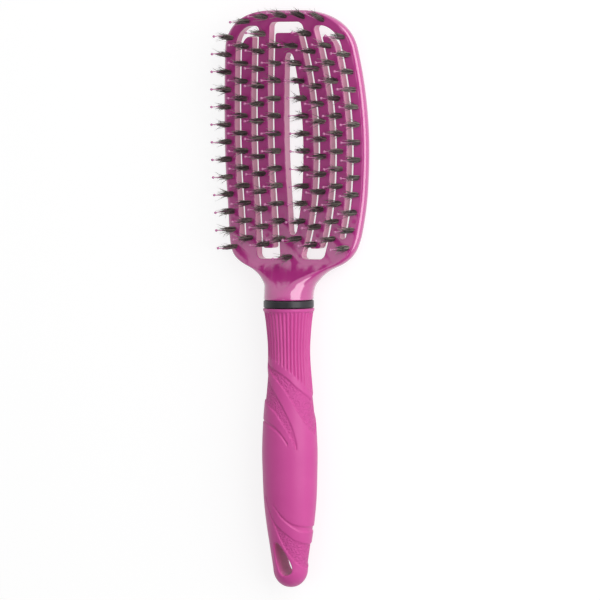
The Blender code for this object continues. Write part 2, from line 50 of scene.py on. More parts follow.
# Places along the handle, in metres from the butt, read from the frame.
gripLow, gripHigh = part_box("grip_sleeve")
ringLow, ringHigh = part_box("collar_ring")
halfLength = -gripLow.y
gripLength = gripHigh.y + halfLength
ringStart = ringLow.y + halfLength
ringEnd = ringHigh.y + halfLength
neckStart = ringEnd + ringStart - gripLength
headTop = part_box("head_frame")[1].y + halfLength
axisHeight = (ringLow.z + ringHigh.z) / 2
print("frame loaded, brush length", round(headTop / mm, 1), "mm")


def smooth(share):
    share = min(max(share, 0), 1)
    return share * share * (3 - 2 * share)


def mix(first, second, share):
    return first + (second - first) * share


def steps(first, last, count):
    return [mix(first, last, index / count) for index in range(count + 1)]


def place(x, along, z):
    return Vector((x, along - halfLength, z))


def curveThrough(pairs, at):
    # A smooth value at a place, through given pairs of place and value.
    last = len(pairs) - 1
    index = 0
    while index < last - 1 and at > pairs[index + 1][0]:
        index += 1
    (x1, y1), (x2, y2) = pairs[index], pairs[index + 1]
    x0, y0 = pairs[max(index - 1, 0)]
    x3, y3 = pairs[min(index + 2, last)]
    t = (at - x1) / (x2 - x1)
    slope1 = (y2 - y0) / (x2 - x0) * (x2 - x1)
    slope2 = (y3 - y1) / (x3 - x1) * (x2 - x1)
    return ((2 * t ** 3 - 3 * t ** 2 + 1) * y1 + (t ** 3 - 2 * t ** 2 + t) * slope1
            + (3 * t ** 2 - 2 * t ** 3) * y2 + (t ** 3 - t ** 2) * slope2)


def linear(hexColour):
    channels = [int(hexColour[index:index + 2], 16) / 255 for index in (1, 3, 5)]
    return [c / 12.92 if c <= 0.04045 else ((c + 0.055) / 1.055) ** 2.4 for c in channels] + [1]


def addNode(tree, kind, inputs=None, **settings):
    # One node with its settings; an input that is a node or a socket becomes a link.
    node = tree.nodes.new(kind)
    for name, value in settings.items():
        setattr(node, name, value)
    for name, value in (inputs or {}).items():
        if isinstance(value, bpy.types.Node):
            value = value.outputs[0]
        if isinstance(value, bpy.types.NodeSocket):
            tree.links.new(value, node.inputs[name])
        else:
            node.inputs[name].default_value = value
    return node


def newMaterial(name, **constants):
    material = bpy.data.materials.new(name)
    material.use_nodes = True
    shader = material.node_tree.nodes["Principled BSDF"]
    for label, value in constants.items():
        shader.inputs[label.replace("_", " ")].default_value = value
    return material, shader


def mottleColour(shader, size, first, second):
    # The base colour drifts from one hex value to another in blobs about size across.
    tree = shader.id_data
    where = addNode(tree, "ShaderNodeTexCoord").outputs["Object"]
    noise = addNode(tree, "ShaderNodeTexNoise", {"Vector": where, "Scale": 1 / size, "Detail": 2.0})
    colours = {0: noise, 6: linear(first), 7: linear(second)}
    colour = addNode(tree, "ShaderNodeMix", colours, data_type="RGBA")
    tree.links.new(colour.outputs[2], shader.inputs["Base Color"])


def roughenSurface(shader, size, detail, strength, distance):
    # Bumps about size across, laid over the ones that the shader already has.
    tree = shader.id_data
    where = addNode(tree, "ShaderNodeTexCoord").outputs["Object"]
    noise = addNode(tree, "ShaderNodeTexNoise", {"Vector": where, "Scale": 1 / size, "Detail": detail})
    bump = addNode(tree, "ShaderNodeBump", {"Height": noise, "Strength": strength, "Distance": distance})
    for link in shader.inputs["Normal"].links:
        tree.links.new(link.from_socket, bump.inputs["Normal"])
    tree.links.new(bump.outputs[0], shader.inputs["Normal"])


# Injection moulded ABS under a clear lacquer: deep even colour, clear reflections of the
# room, and a very slight orange peel that breaks them into specks.
def makeGlossMagentaAbs():
    material, shader = newMaterial("glossMagentaAbs", Roughness=0.16, IOR=1.53, Coat_Weight=1.0,
                                   Coat_Roughness=0.05, Coat_IOR=1.75)
    mottleColour(shader, 14 * mm, "#C0328E", "#CE3E9A")
    roughenSurface(shader, 0.9 * mm, 3.0, strength=0.12, distance=0.05 * mm)
    return material


# The same ABS on the slots' walls, painted paler pink: painted light that stands in for the bright light
# the walls catch from below, not the plastic's own colour. A softer sheen, and faint draw lines across
# the plate where the steel cores drew over it. Real ones are near 0.1 mm apart; they are drawn at
# 0.7 mm, the finest that shows.
def makeWallPaintedLightAbs():
    material, shader = newMaterial("wallPaintedLightAbs", Roughness=0.35, IOR=1.53, Coat_Weight=0.7,
                                   Coat_Roughness=0.15, Coat_IOR=1.6)
    # painted light: these pale pinks stand in for light reflected up into the slots
    mottleColour(shader, 6 * mm, "#F695C4", "#FAADD4")
    roughenSurface(shader, 0.7 * mm, 2.0, strength=0.1, distance=0.05 * mm)
    return material


# The same plastic in a charcoal colour: darker, so its highlights read as lighter ends.
def makeGlossCharcoalAbs():
    material, shader = newMaterial("glossCharcoalAbs", Roughness=0.34, IOR=1.5, Specular_IOR_Level=0.4)
    mottleColour(shader, 6 * mm, "#29262B", "#322F35")
    return material


# Soft touch thermoplastic rubber, moulded over the tang: satin, with a fine even tooth, and
# a coarser spark eroded grain in the leaf shaped recesses. The real grain is near 0.2 mm; it
# is drawn at 0.8 mm, the finest that shows.
def makeSatinPinkRubber():
    material, shader = newMaterial("satinPinkRubber", IOR=1.5, Sheen_Weight=0.12, Sheen_Roughness=0.4,
                                   Specular_IOR_Level=0.42)
    mottleColour(shader, 10 * mm, "#D04A9C", "#D653A2")
    tree = material.node_tree
    leaf = addNode(tree, "ShaderNodeAttribute", attribute_name="grain").outputs["Fac"]
    toothRoughness, grainRoughness, grainStrength = 0.42, 0.6, 0.75
    rough = addNode(tree, "ShaderNodeMapRange", {0: leaf, 3: toothRoughness, 4: grainRoughness})
    tree.links.new(rough.outputs[0], shader.inputs["Roughness"])
    roughenSurface(shader, 0.35 * mm, 2.0, strength=0.15, distance=0.04 * mm)
    strength = addNode(tree, "ShaderNodeMath", {0: leaf, 1: grainStrength}, operation="MULTIPLY")
    roughenSurface(shader, 0.8 * mm, 1.0, strength, distance=0.9 * mm)
    return material


# Natural boar bristle: dark, waxy, each hair a little lighter or browner than the next.
def makeBoarBristle():
    material, shader = newMaterial("boarBristle", Roughness=0.42, IOR=1.55)
    tree = material.node_tree
    shade = addNode(tree, "ShaderNodeAttribute", attribute_name="shade").outputs["Fac"]
    ramp = addNode(tree, "ShaderNodeValToRGB", {"Fac": shade})
    tones = ramp.color_ramp.elements
    tones[0].color = linear("#252322")
    tones[1].color = linear("#A9A698")
    middle = tones.new(0.55)
    middle.color = linear("#4B4843")
    tree.links.new(ramp.outputs[0], shader.inputs["Base Color"])
    return material


# Extruded nylon monofilament with a melted ball: a little light passes through it.
def makePinkNylon():
    material, shader = newMaterial("pinkNylon", Roughness=0.22, IOR=1.53, Transmission_Weight=0.3)
    mottleColour(shader, 5 * mm, "#DB78B6", "#E79CCB")
    return material


glossMagenta = makeGlossMagentaAbs()
wallPaintedLight = makeWallPaintedLightAbs()
glossCharcoal = makeGlossCharcoalAbs()
satinPink = makeSatinPinkRubber()
boarBristle = makeBoarBristle()
pinkNylon = makePinkNylon()
print("materials made")


def loft(sections, cyclic=False):
    # A closed skin over sections with equal counts of points, all faces outwards.
    mesh = bmesh.new()
    rings = [[mesh.verts.new(point) for point in section] for section in sections]
    pairs = list(zip(rings, rings[1:]))
    if cyclic:
        pairs.append((rings[-1], rings[0]))
    for ring, following in pairs:
        for index, vert in enumerate(ring):
            after = (index + 1) % len(ring)
            mesh.faces.new((vert, ring[after], following[after], following[index]))
    if not cyclic:
        mesh.faces.new(rings[0])
        mesh.faces.new(rings[-1])
    bmesh.ops.recalc_face_normals(mesh, faces=mesh.faces)
    return mesh


def pieceFrom(mesh, name, *materials):
    data = bpy.data.meshes.new(name)
    mesh.to_mesh(data)
    mesh.free()
    for material in materials:
        data.materials.append(material)
    piece = bpy.data.objects.new(name, data)
    bpy.context.scene.collection.objects.link(piece)
    data.shade_smooth()
    return piece


def settle(piece):
    # What the modifiers make becomes the piece's own mesh.
    bpy.context.view_layer.update()
    evaluated = piece.evaluated_get(bpy.context.evaluated_depsgraph_get())
    data = bpy.data.meshes.new_from_object(evaluated)
    piece.modifiers.clear()
    piece.data = data


def cutWith(piece, cutters):
    for cutter in cutters:
        modifier = piece.modifiers.new(cutter.name, "BOOLEAN")
        modifier.operation = "DIFFERENCE"
        modifier.object = cutter
        modifier.material_mode = "TRANSFER"
    settle(piece)
    for cutter in cutters:
        bpy.data.objects.remove(cutter)


def softenShading(piece, sharpDegrees):
    # Flat faces keep their normals, so only the rounded edges catch the light.
    piece.data.shade_smooth()
    piece.data.set_sharp_from_angle(angle=math.radians(sharpDegrees))
    weighted = piece.modifiers.new("faceWeights", "WEIGHTED_NORMAL")
    weighted.keep_sharp = True
    weighted.weight = 90
    settle(piece)


def outwardNormals(points):
    area = sum(x1 * y2 - x2 * y1 for (x1, y1), (x2, y2) in zip(points, points[1:] + points[:1]))
    side = math.copysign(1, area)
    normals = []
    for index, point in enumerate(points):
        here = Vector(point)
        before, after = here - Vector(points[index - 1]), Vector(points[(index + 1) % len(points)]) - here
        tangent = (before.normalized() + after.normalized()).normalized()
        normals.append((side * tangent.y, -side * tangent.x))
    return normals


# A rounded edge, from the face to the wall: how far it spreads and how deep it lies, in fillets.
edgeArc = [(1.25, -0.067), (0.5, 0.134)]
edgeArc += [(1 - math.sin(angle), 1 - math.cos(angle)) for angle in (0.87, 1.22, math.pi / 2)]


def flaredCutter(name, outlineAt, lowAt, highAt, fillet, far, materials, wallLevels=(0.0,)):
    # Cuts a through opening whose edges are rounded on both faces. outlineAt gives the
    # opening's outline at a level from -1 at the back face to 1 at the front. The second
    # material, if there is one, goes to the walls.
    sections = []

    def addSection(level, spread, height):
        points = outlineAt(level)
        section = []
        for (x, along), (acrossX, acrossY) in zip(points, outwardNormals(points)):
            px, py = x + acrossX * spread, along + acrossY * spread
            section.append(place(px, py, height(px, py)))
        sections.append(section)

    addSection(1, edgeArc[0][0] * fillet, lambda x, along: axisHeight + far)
    for spread, depth in edgeArc:
        addSection(1, spread * fillet, lambda x, along: highAt(x, along) - depth * fillet)
    for level in wallLevels:
        share = (level + 1) / 2
        addSection(level, 0, lambda x, along: mix(lowAt(x, along), highAt(x, along), share))
    for spread, depth in reversed(edgeArc):
        addSection(-1, spread * fillet, lambda x, along: lowAt(x, along) + depth * fillet)
    addSection(-1, edgeArc[0][0] * fillet, lambda x, along: axisHeight - far)
    cutter = pieceFrom(loft(sections), name, *materials)
    around, wallStart = len(sections[0]), len(edgeArc)
    for face in cutter.data.polygons:
        inWall = 0 <= face.index // around - wallStart <= len(wallLevels)
        face.material_index = len(materials) - 1 if inWall else 0
    return cutter


# The camera comes first: square frame, looking down on the brush from its right side.
camera = {
    "frame": 600, "pixelsPerMetre": 2358, "turnDegrees": 28.0, "tiltDegrees": 3.0, "rollDegrees": 0.43,
    "distance": 2.2, "sensor": 36.0, "aimAlong": 122.2 * mm, "aimRight": 4.8 * mm,
}


def makeCamera():
    turn, tilt, roll = [math.radians(camera[name + "Degrees"]) for name in ("turn", "tilt", "roll")]
    back = Vector((math.sin(turn) * math.cos(tilt), math.sin(tilt), math.cos(turn) * math.cos(tilt)))
    right = Vector((0, 1, 0)).cross(back).normalized()
    up = back.cross(right)
    right, up = right * math.cos(roll) - up * math.sin(roll), up * math.cos(roll) + right * math.sin(roll)
    data = bpy.data.cameras.new("camera")
    data.sensor_width = camera["sensor"]
    data.sensor_fit = "HORIZONTAL"
    data.lens = camera["sensor"] * camera["distance"] * camera["pixelsPerMetre"] / camera["frame"]
    data.clip_start, data.clip_end = 0.01, 20
    item = bpy.data.objects.new("camera", data)
    bpy.context.scene.collection.objects.link(item)
    aim = place(0, camera["aimAlong"], axisHeight) + right * camera["aimRight"]
    turned = Matrix((right, up, back)).transposed().to_4x4()
    item.matrix_world = Matrix.Translation(aim + back * camera["distance"]) @ turned
    bpy.context.scene.camera = item


makeCamera()
print("camera placed")

# The head: a bowed outline, an arched face, and a plate of one depth.
head = {
    "neckLength": 5.1 * mm, "neckRadius": 10.6 * mm, "seatRadius": 7.5 * mm, "edgeRound": 0.35 * mm,
    "shoulderLength": 21.5 * mm, "faceFalls": (-5.1 * mm, 10.4 * mm), "backRises": (1.0 * mm, 14.0 * mm),
    "shoulderShares": [
        (-0.14, 0.0), (-0.065, 0.01), (0.051, 0.046), (0.153, 0.142), (0.251, 0.262), (0.349, 0.435),
        (0.451, 0.68), (0.507, 0.778), (0.586, 0.876), (0.707, 0.948), (0.823, 0.98), (1.0, 1.0)],
    "plateDepth": 5.0 * mm, "edgeRadius": 2.2 * mm,
    "cornerLength": 17.0 * mm, "cornerPower": 2.4, "bluntEndShare": 0.2,
    "railBow": 3.64 * mm, "rowStart": 17.1 * mm, "rowEndBelowTop": 11.6 * mm,
    "lowBelowTop": 71.0 * mm, "flatLength": 8.0 * mm,
    "archAtTop": 8.3 * mm, "archAtNeck": 4.0 * mm, "archTopPower": 2.2, "archNeckPower": 2.0,
    "railWidth": 5.0 * mm, "slotWidth": 3.0 * mm, "centreWidth": 8.8 * mm, "rimExtra": 0.95 * mm,
    "turnWidth": 4.5 * mm, "highTurnWidth": 7.5 * mm, "highTurnLength": 9.0 * mm,
    "standingRoundWidth": 3.8 * mm, "standingRoundLength": 5.2 * mm, "standingCorner": 1.1 * mm,
    "hangingCorner": 1.2 * mm, "windowWidth": 4.6 * mm, "windowFromTop": 5.0 * mm, "windowCorner": 2.1 * mm,
    "fingerTopFromTop": 11.1 * mm, "fingerEnd": 16.5 * mm, "outerSlotEnd": 20.5 * mm,
    "lensEnd": 22.0 * mm, "lensTopFromTop": 18.0 * mm,
    "pinRadius": 1.0 * mm, "pinDepth": 0.12 * mm, "pins": [(1, 0.5), (2, 0.5), (3, 1.5)],
    "fillet": 0.3 * mm, "neckTuft": 13.0 * mm, "sharpDegrees": 50, "cutReach": 30 * mm,
    "outlineStep": 1.5 * mm, "neckSteps": 6, "shoulderSteps": 44, "plateSteps": 80, "endSteps": 40,
}
cornerLimit = 0.985  # the largest corner radius, as a share of the half depth or half width
shoulderStart = neckStart + head["neckLength"]
rowStart = shoulderStart + head["rowStart"]
rowEnd = headTop - head["rowEndBelowTop"]
rowCentre = (rowStart + rowEnd) / 2
railPitch = head["railWidth"] + head["slotWidth"]
innerRail = (head["centreWidth"] + head["railWidth"]) / 2
lowAlong = headTop - head["lowBelowTop"]
neckTuftAlong = shoulderStart + head["neckTuft"]


def railX(index, along):
    # The middle of a finger, 0 next to the centre opening and 3 at the rim.
    bow = head["railBow"] * ((along - rowCentre) / (rowEnd - rowCentre)) ** 2
    return innerRail + railPitch * index - bow


def headHalfWidth(along):
    width = railX(3, along) + head["railWidth"] / 2 + head["rimExtra"]
    past = (along - (headTop - head["cornerLength"])) / head["cornerLength"]
    if past > 0:
        power = head["cornerPower"]
        width *= mix(head["bluntEndShare"], 1, max(1 - past ** power, 0) ** (1 / power))
    upShoulder = (along - shoulderStart) / head["shoulderLength"]
    if upShoulder >= 1:
        return width
    upShoulder = max(upShoulder, head["shoulderShares"][0][0])
    return mix(head["neckRadius"], width, curveThrough(head["shoulderShares"], upShoulder))


def faceHeight(along):
    past = abs(along - lowAlong) - head["flatLength"] / 2
    if past <= 0:
        return head["plateDepth"]
    if along > lowAlong:
        reach = head["lowBelowTop"] - head["flatLength"] / 2
        return head["plateDepth"] + head["archAtTop"] * (past / reach) ** head["archTopPower"]
    reach = lowAlong - neckTuftAlong - head["flatLength"] / 2
    return head["plateDepth"] + head["archAtNeck"] * (past / reach) ** head["archNeckPower"]


def thinning(span, along):
    # How far the round neck has become the thin plate; the span counts from the shoulder.
    return smooth((along - shoulderStart - span[0]) / (span[1] - span[0]))


def headTopAt(x, along):
    return mix(axisHeight + head["neckRadius"], faceHeight(along), thinning(head["faceFalls"], along))


def headBottomAt(x, along):
    back = faceHeight(along) - head["plateDepth"]
    return mix(axisHeight - head["neckRadius"], back, thinning(head["backRises"], along))


def roundedSection(along, halfWidth, low, high, radius, cornerSteps=10):
    middle, halfDepth = (high + low) / 2, (high - low) / 2
    points = []
    for corner, (sideX, sideZ) in enumerate(((1, 1), (-1, 1), (-1, -1), (1, -1))):
        for angle in steps(corner * math.pi / 2, (corner + 1) * math.pi / 2, cornerSteps):
            x = sideX * (halfWidth - radius) + radius * math.cos(angle)
            z = middle + sideZ * (halfDepth - radius) + radius * math.sin(angle)
            points.append(place(x, along, z))
    return points


def roundSection(along, radius):
    return roundedSection(along, radius, axisHeight - radius, axisHeight + radius, radius * cornerLimit)


def plateSection(along):
    halfWidth = headHalfWidth(along)
    top, bottom = headTopAt(0, along), headBottomAt(0, along)
    intoEdge = (along - (headTop - head["edgeRadius"])) / head["edgeRadius"]
    if intoEdge > 0:
        thinned = head["plateDepth"] / 2 * (1 - math.sqrt(max(1 - intoEdge ** 2, 0)))
        top, bottom = top - thinned, bottom + thinned
    limit = cornerLimit * min((top - bottom) / 2, halfWidth)
    radius = min(mix(head["neckRadius"], head["edgeRadius"], thinning(head["backRises"], along)), limit)
    return roundedSection(along, halfWidth, bottom, top, radius)


def railSide(index, way, along):
    return railX(index, along) + way * head["railWidth"] / 2, along


def railEdge(index, way, first, last):
    # One edge of a finger, from one place along it to another.
    count = max(round(abs(last - first) / head["outlineStep"]), 1)
    return [railSide(index, way, along) for along in steps(first, last, count)]


def followFingers(edge, start, corners):
    # Takes the edge along the fingers' sides from corner to corner. The start is a finger, its
    # side and a place along it. A corner is the same, with how far its round runs across and
    # along, above zero towards +X or the head, and the round's steps.
    for index, way, along, reachX, reachY, count in corners:
        upright = start[:2] == (index, way)
        if upright:
            edge += railEdge(*start, along + reachY)[1:]
        for angle in steps(0, math.pi / 2, count)[int(upright):]:
            slow, fast = 1 - math.cos(angle), 1 - math.sin(angle)
            shareX, shareY = (slow, fast) if upright else (fast, slow)
            x, y = railSide(index, way, along + reachY * shareY)
            edge.append((x + reachX * shareX, y))
        start = index, way, along + reachY
    return start


def windingSlot():
    # The right half runs down one edge of the slot and back up the other.
    hanging, standing, window = head["hangingCorner"], head["standingCorner"], head["windowCorner"]
    windowTop = headTop - head["windowFromTop"]
    windowLow = windowTop - head["windowWidth"]
    hangingEnd = shoulderStart + head["fingerEnd"]
    standingTop = headTop - head["fingerTopFromTop"]
    lowTurn, highTurn = hangingEnd - head["turnWidth"], standingTop + head["turnWidth"]
    slotEnd = shoulderStart + head["outerSlotEnd"] + head["slotWidth"] / 2

    edge = [(0, windowTop)]
    reached = followFingers(edge, (), [
        (1, -1, windowTop, -window, -window, 9), (1, -1, hangingEnd, hanging, hanging, 9),
        (1, 1, hangingEnd, -hanging, hanging, 9), (1, 1, highTurn, window, -window, 9),
        (3, -1, highTurn, -head["highTurnWidth"], -head["highTurnLength"], 20)])
    edge += railEdge(*reached, slotEnd)[1:]
    middle, radius = railX(2, slotEnd) + railPitch / 2, head["slotWidth"] / 2
    for angle in steps(0, math.pi, 16)[1:-1]:
        edge.append((middle + radius * math.cos(angle), slotEnd - radius * math.sin(angle)))
    edge.append(railSide(2, 1, slotEnd))
    followFingers(edge, (2, 1, slotEnd), [
        (2, 1, standingTop, -head["standingRoundWidth"], -head["standingRoundLength"], 16),
        (2, -1, standingTop, standing, -standing, 9), (2, -1, lowTurn, -window, window, 9),
        (0, 1, lowTurn, window, window, 9), (0, 1, windowLow, -standing, -standing, 9)])
    edge.append((0, windowLow))
    return edge + [(-x, along) for x, along in reversed(edge[1:-1])]


def centreOpening():
    half = head["railWidth"] / 2
    low, high = shoulderStart + head["lensEnd"], headTop - head["lensTopFromTop"]
    lowHalf, highHalf = railX(0, low) - half, railX(0, high) - half
    edge = [(lowHalf * math.sin(angle), low + lowHalf * (1 - math.cos(angle)))
            for angle in steps(0, math.pi / 2, 12)[:-1]]
    edge += railEdge(0, -1, low + lowHalf, high - highHalf)
    edge += [(highHalf * math.cos(angle), high - highHalf * (1 - math.sin(angle)))
             for angle in steps(0, math.pi / 2, 12)[1:]]
    return edge + [(-x, along) for x, along in reversed(edge[1:-1])]


def pinCutters():
    # Ejector pins leave a shallow disc midway between two of the lowest tufts of a finger.
    cutters = []
    for index, number in head["pins"]:
        along = rowPlace(index, number)
        face = headTopAt(0, along)
        for side in (-1, 1):
            circle = [(side * railX(index, along) + head["pinRadius"] * math.cos(angle),
                       along + head["pinRadius"] * math.sin(angle))
                      for angle in steps(0, 2 * math.pi, 20)[:-1]]
            disc = [[place(x, y, height) for x, y in circle]
                    for height in (face - head["pinDepth"], face + head["pinRadius"])]
            cutters.append(pieceFrom(loft(disc), f"pin{index}{side}", glossMagenta))
    return cutters


def makeHead():
    seat, neck, edge = head["seatRadius"], head["neckRadius"], head["edgeRound"]
    sections = [roundSection(gripLength - edge, seat), roundSection(neckStart, seat),
                roundSection(neckStart, neck - edge)]
    for angle in steps(0, math.pi / 2, 4)[1:]:
        sections.append(roundSection(neckStart + edge * (1 - math.cos(angle)),
                                     neck - edge * (1 - math.sin(angle))))
    plateStart = shoulderStart + head["shoulderLength"]
    cornerStart = headTop - head["cornerLength"]
    stations = steps(neckStart + 2 * edge, shoulderStart, head["neckSteps"])
    stations += steps(shoulderStart, plateStart, head["shoulderSteps"])[1:]
    stations += steps(plateStart, cornerStart, head["plateSteps"])[1:]
    stations += [cornerStart + head["cornerLength"] * math.sin(angle)
                 for angle in steps(0, math.pi / 2, head["endSteps"])[1:]]
    sections += [plateSection(along) for along in stations]
    piece = pieceFrom(loft(sections), "headFrame", glossMagenta)
    # The slot walls take the paler wall material, whose colour is painted light from below.
    cutters = [flaredCutter(name, lambda level: outline, headBottomAt, headTopAt, head["fillet"],
                            head["cutReach"], (glossMagenta, wallPaintedLight))
               for name, outline in (("slot", windingSlot()), ("lens", centreOpening()))]
    cutWith(piece, cutters + pinCutters())
    softenShading(piece, head["sharpDegrees"])
    return piece


# The tufts: their rows, and the sizes of one bundle of boar and of one quill.
tufts = {
    "pitch": 7.4 * mm, "longCount": 13, "shortCount": 12, "edgeInset": 3.4 * mm, "hangingShift": 1.4 * mm,
    "topFromTop": 2.6 * mm, "topHalfWidth": 17.8 * mm, "topDrop": 1.9 * mm, "topCount": 5,
    "leanLow": -0.25 * mm, "leanHigh": 0.65 * mm, "topLean": 1.3 * mm, "topFan": 0.1,
    "sunk": 0.4 * mm, "bundleRadius": 0.95 * mm, "strands": 44,
    "boarLength": 12.4 * mm, "boarRadius": 0.135 * mm, "boarReach": (0.62, 1.06), "boarTaper": 0.7,
    "boarStray": 3.4 * mm, "strayPower": 2.2, "boarTilt": 0.05, "swell": 1.5, "close": 1.9,
    "quillLength": 15.9 * mm, "quillRadius": 0.24 * mm, "quillTilt": 0.06, "quillBend": 0.12,
    "quillTaper": 0.25, "ballRadius": 0.6 * mm, "firstSeed": 20, "seedStep": 20,
}
rowKinds = [("inner", tufts["shortCount"], 0), ("hanging", tufts["longCount"], tufts["hangingShift"]),
            ("standing", tufts["shortCount"], 0), ("edge", tufts["longCount"], 0)]
sideways = (-1, -1, 0), (1, 1, 0)  # the range of a random direction across the hairs


def rowPlace(index, number):
    # Where a finger's tuft stands, counted up from the lowest; half numbers lie between two.
    _, count, shift = rowKinds[index]
    return rowCentre + shift + (number - (count - 1) / 2) * tufts["pitch"]


def leanAt(along):
    # The rows fan out a little: low tufts lean towards the handle, high ones away from it.
    return mix(tufts["leanLow"], tufts["leanHigh"], (along - rowStart) / (rowEnd - rowStart))


def tuftRows():
    # Each row: the CAD node it stands for, and the places and leans of its tufts.
    rows = []
    for side, sideName in ((-1, "left"), (1, "right")):
        for index, (kind, count, _) in enumerate(rowKinds):
            points = []
            for along in [rowPlace(index, number) for number in range(count)]:
                x = headHalfWidth(along) - tufts["edgeInset"] if kind == "edge" else railX(index, along)
                points.append((side * x, along, leanAt(along)))
            rows.append((f"tufts_{kind}_{sideName}", points))
    points = []
    for x in steps(-tufts["topHalfWidth"], tufts["topHalfWidth"], tufts["topCount"] - 1):
        low = tufts["topDrop"] * (x / tufts["topHalfWidth"]) ** 2
        points.append((x, headTop - tufts["topFromTop"] - low, tufts["topLean"] + tufts["topFan"] * x))
    rows.append(("tufts_top", points))
    rows.append(("tuft_neck", [(0, neckTuftAlong, leanAt(neckTuftAlong))]))
    return rows


def newTree(name, **inputs):
    # A tree with its named inputs, what adds a node to it, and what its inputs give.
    tree = bpy.data.node_groups.new(name, "GeometryNodeTree")
    for label, kind in {"Geometry": "Geometry", **inputs}.items():
        tree.interface.new_socket(label.replace("_", " "), in_out="INPUT", socket_type="NodeSocket" + kind)
    tree.interface.new_socket("Geometry", in_out="OUTPUT", socket_type="NodeSocketGeometry")
    add = partial(addNode, tree)
    return tree, add, add("NodeGroupInput").outputs


def drawRandom(add, seed, first, **ranges):
    # A random field for each name, each from its own numbered series.
    fields = []
    for number, (low, high) in enumerate(ranges.values(), first):
        series = add("ShaderNodeMath", {0: seed, 1: number}, operation="ADD")
        isVector = isinstance(low, tuple)
        inputs = {0: low, 1: high} if isVector else {2: low, 3: high}
        draw = add("FunctionNodeRandomValue", {**inputs, "Seed": series},
                   data_type="FLOAT_VECTOR" if isVector else "FLOAT")
        fields.append(draw.outputs[0 if isVector else 1])
    return dict(zip(ranges, fields))


def storeFields(add, geometry, kind, **fields):
    for name, field in fields.items():
        inputs = {"Geometry": geometry, "Name": name, "Value": field}
        geometry = add("GeometryNodeStoreNamedAttribute", inputs, data_type=kind)
    return geometry


def readFields(add, kind, *names):
    return [add("GeometryNodeInputNamedAttribute", {"Name": name}, data_type=kind) for name in names]


def sumOffsets(add, parts):
    # Adds up directions, each times the share of it that counts.
    total = None
    for direction, share in parts:
        part = add("ShaderNodeVectorMath", {0: direction, "Scale": share}, operation="SCALE")
        if total is not None:
            part = add("ShaderNodeVectorMath", {0: total, 1: part}, operation="ADD")
        total = part
    return total


def hairLines(add, points, length, pointsCount):
    # A straight line on each point, divided so that it can bend.
    end = add("ShaderNodeCombineXYZ", {"Z": length})
    line = add("GeometryNodeCurvePrimitiveLine", {"End": end})
    line = add("GeometryNodeResampleCurve", {"Curve": line, "Count": pointsCount})
    grown = add("GeometryNodeInstanceOnPoints", {"Points": points, "Instance": line})
    return add("GeometryNodeRealizeInstances", {"Geometry": grown})


def skinHairs(add, hairs, radius, sides, along, taper):
    # Turns the lines to solid hairs, thinner towards their tips.
    profile = add("GeometryNodeCurvePrimitiveCircle", {"Resolution": sides, "Radius": radius})
    lost = add("ShaderNodeMath", {0: along, 1: taper}, operation="MULTIPLY")
    scale = add("ShaderNodeMath", {0: 1.0, 1: lost}, operation="SUBTRACT")
    inputs = {"Curve": hairs, "Profile Curve": profile, "Scale": scale, "Fill Caps": True}
    return add("GeometryNodeCurveToMesh", inputs)


def endTree(add, geometry, material):
    mesh = add("GeometryNodeRealizeInstances", {"Geometry": geometry})
    mesh = add("GeometryNodeSetMaterial", {"Geometry": mesh, "Material": material})
    add("NodeGroupOutput", {0: mesh})


